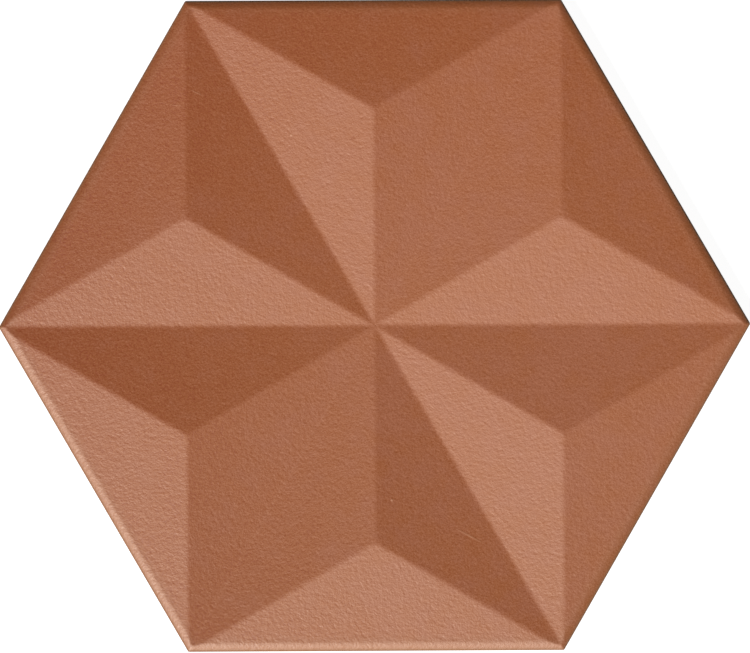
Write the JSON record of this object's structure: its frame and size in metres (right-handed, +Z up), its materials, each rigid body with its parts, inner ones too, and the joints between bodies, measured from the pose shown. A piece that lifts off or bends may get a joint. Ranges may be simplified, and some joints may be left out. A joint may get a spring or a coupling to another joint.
{
  "type": "hexagon floor tile",
  "caption": "Hexagonal terracotta-coloured floor tile with a relief of low faceted peaks, laid side by side to cover a floor.",
  "frame": {"origin": "centre of the back, which rests on the floor", "axes": "+Z up out of the face, +X towards one corner, +Y square to one side"},
  "size_m": [0.2538, 0.22, 0.012],
  "materials": {
    "terracotta": "matt fired face with a fine grain"
  },
  "bodies": {
    "root": {"hexagon_tile": "terracotta"}
  },
  "joints": []
}
